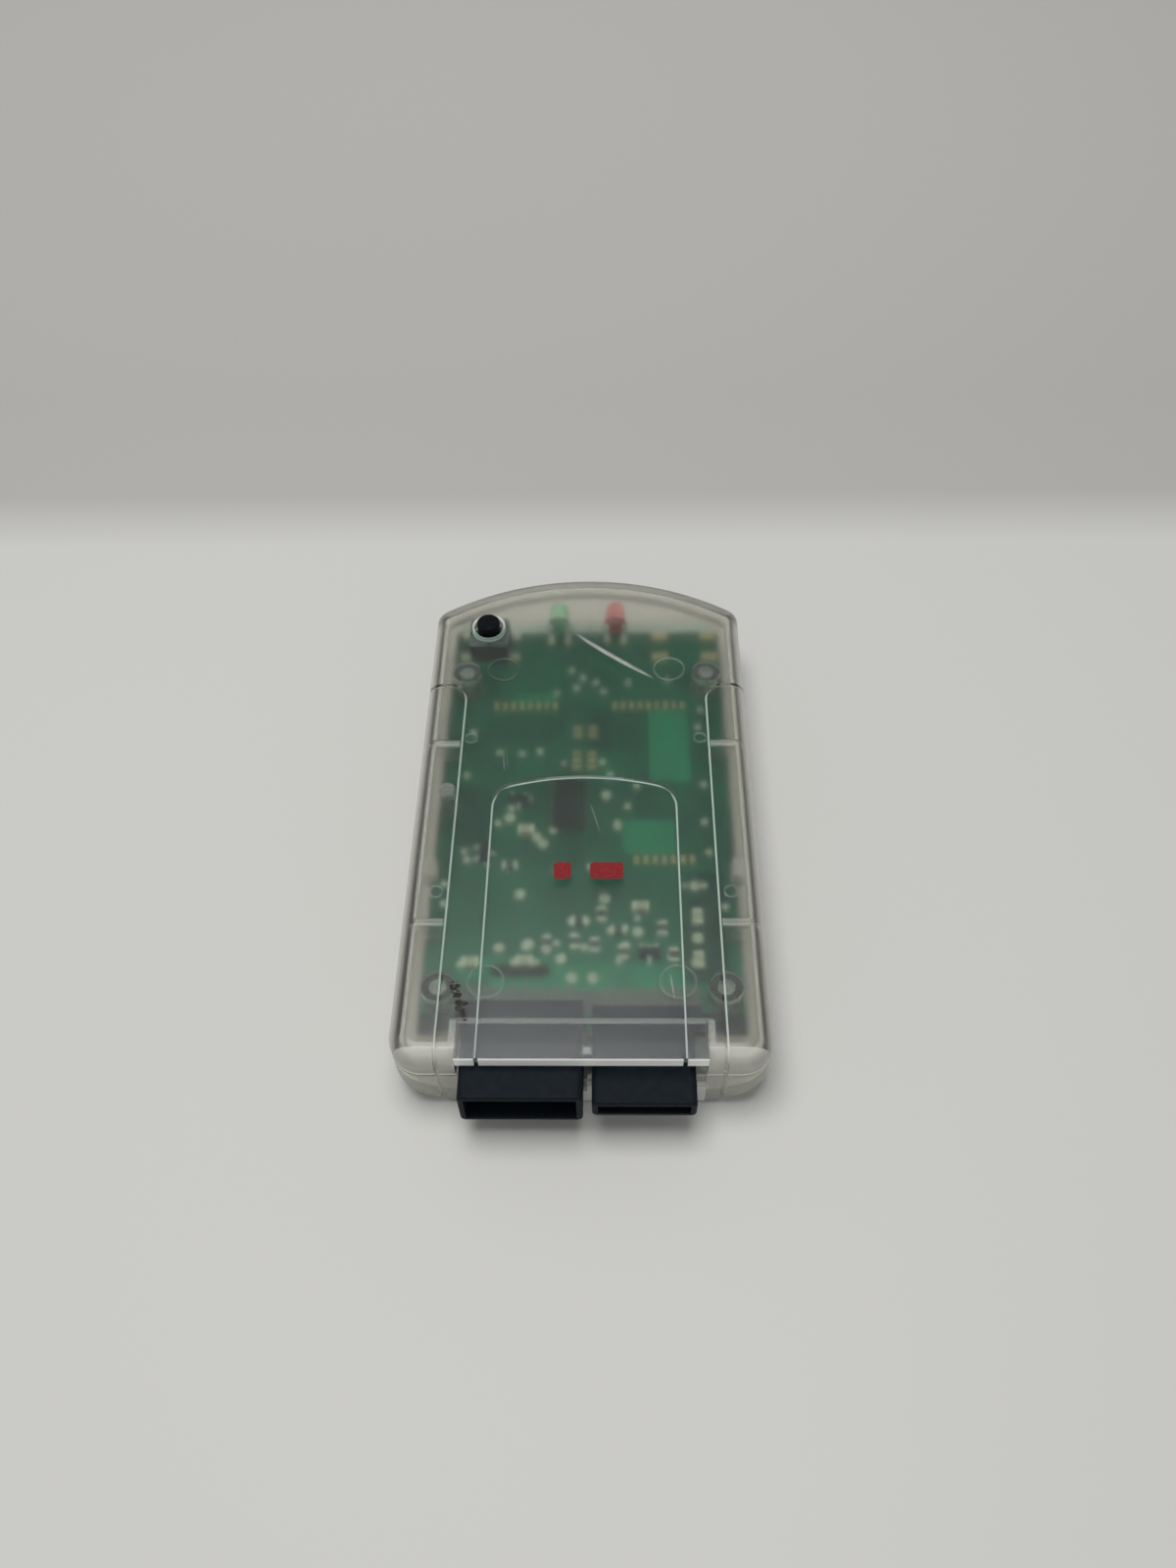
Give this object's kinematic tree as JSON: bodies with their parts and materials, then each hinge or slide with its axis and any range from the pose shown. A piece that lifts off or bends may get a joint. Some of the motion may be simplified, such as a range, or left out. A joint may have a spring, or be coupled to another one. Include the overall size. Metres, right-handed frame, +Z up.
{
  "type": "console memory card",
  "caption": "Slim console memory card: arched frosted clear case around a green circuit board, with a push button, two lamps and two black sockets at the end.",
  "frame": {"origin": "middle of the bounding box, on the plane that the card's flat back rests on", "axes": "+Z up out of the front cover, +Y along the card to its arched end, +X to the right seen from the front"},
  "size_m": [0.047, 0.0876, 0.0134],
  "materials": {
    "frosted_case": "frosted clear moulded plastic",
    "board_green": "green solder mask on glass laminate",
    "socket_black": "fine-grained black moulding",
    "contact_gold": "gold-plated spring metal",
    "switch_resin": "dark moulded resin",
    "switch_steel": "plated sheet steel",
    "button_black": "matt black moulding",
    "tinned_lead": "tinned metal",
    "green_lens": "green diffused casting",
    "red_lens": "red diffused casting",
    "pad_gold": "gold-plated copper",
    "solder": "bright solder",
    "chip_black": "matt moulded package",
    "can_steel": "drawn steel can",
    "tank_yellow": "yellow moulded package",
    "resistor_black": "glazed resistor body",
    "capacitor_tan": "fired ceramic body"
  },
  "bodies": {
    "case": {"front_cover": "frosted_case", "rear_cover": "frosted_case", "circuit_board": "board_green", "left_socket": "socket_black", "left_contacts": "contact_gold", "right_socket": "socket_black", "right_contacts": "contact_gold", "switch_base": "switch_resin", "switch_top_plate": "switch_steel", "switch_dome": "switch_steel", "switch_terminals": "tinned_lead", "green_lamp_lens": "green_lens", "green_lamp_leads": "tinned_lead", "red_lamp_lens": "red_lens", "red_lamp_leads": "tinned_lead", "gold_pads": "pad_gold", "solder_joints": "solder", "memory_chips": "chip_black", "memory_leads": "tinned_lead", "controller_chip": "chip_black", "controller_leads": "tinned_lead", "latch_chip": "chip_black", "latch_leads": "tinned_lead", "crystal_can": "can_steel", "crystal_base": "resistor_black", "tank_capacitor": "tank_yellow", "tank_terminals": "tinned_lead", "voltage_regulator": "chip_black", "regulator_leads": "tinned_lead", "transistors": "chip_black", "transistor_leads": "tinned_lead", "chip_resistors": "resistor_black", "resistor_end_caps": "solder", "ceramic_capacitors": "capacitor_tan", "capacitor_end_caps": "solder"},
    "button": {"switch_plunger": "button_black"}
  },
  "joints": [
    {"name": "button_press", "type": "slide", "parent": "case", "child": "button", "axis": [0, 0, -1], "range_m": [0, 0.00025], "stiffness_N_per_m": 6000}
  ]
}
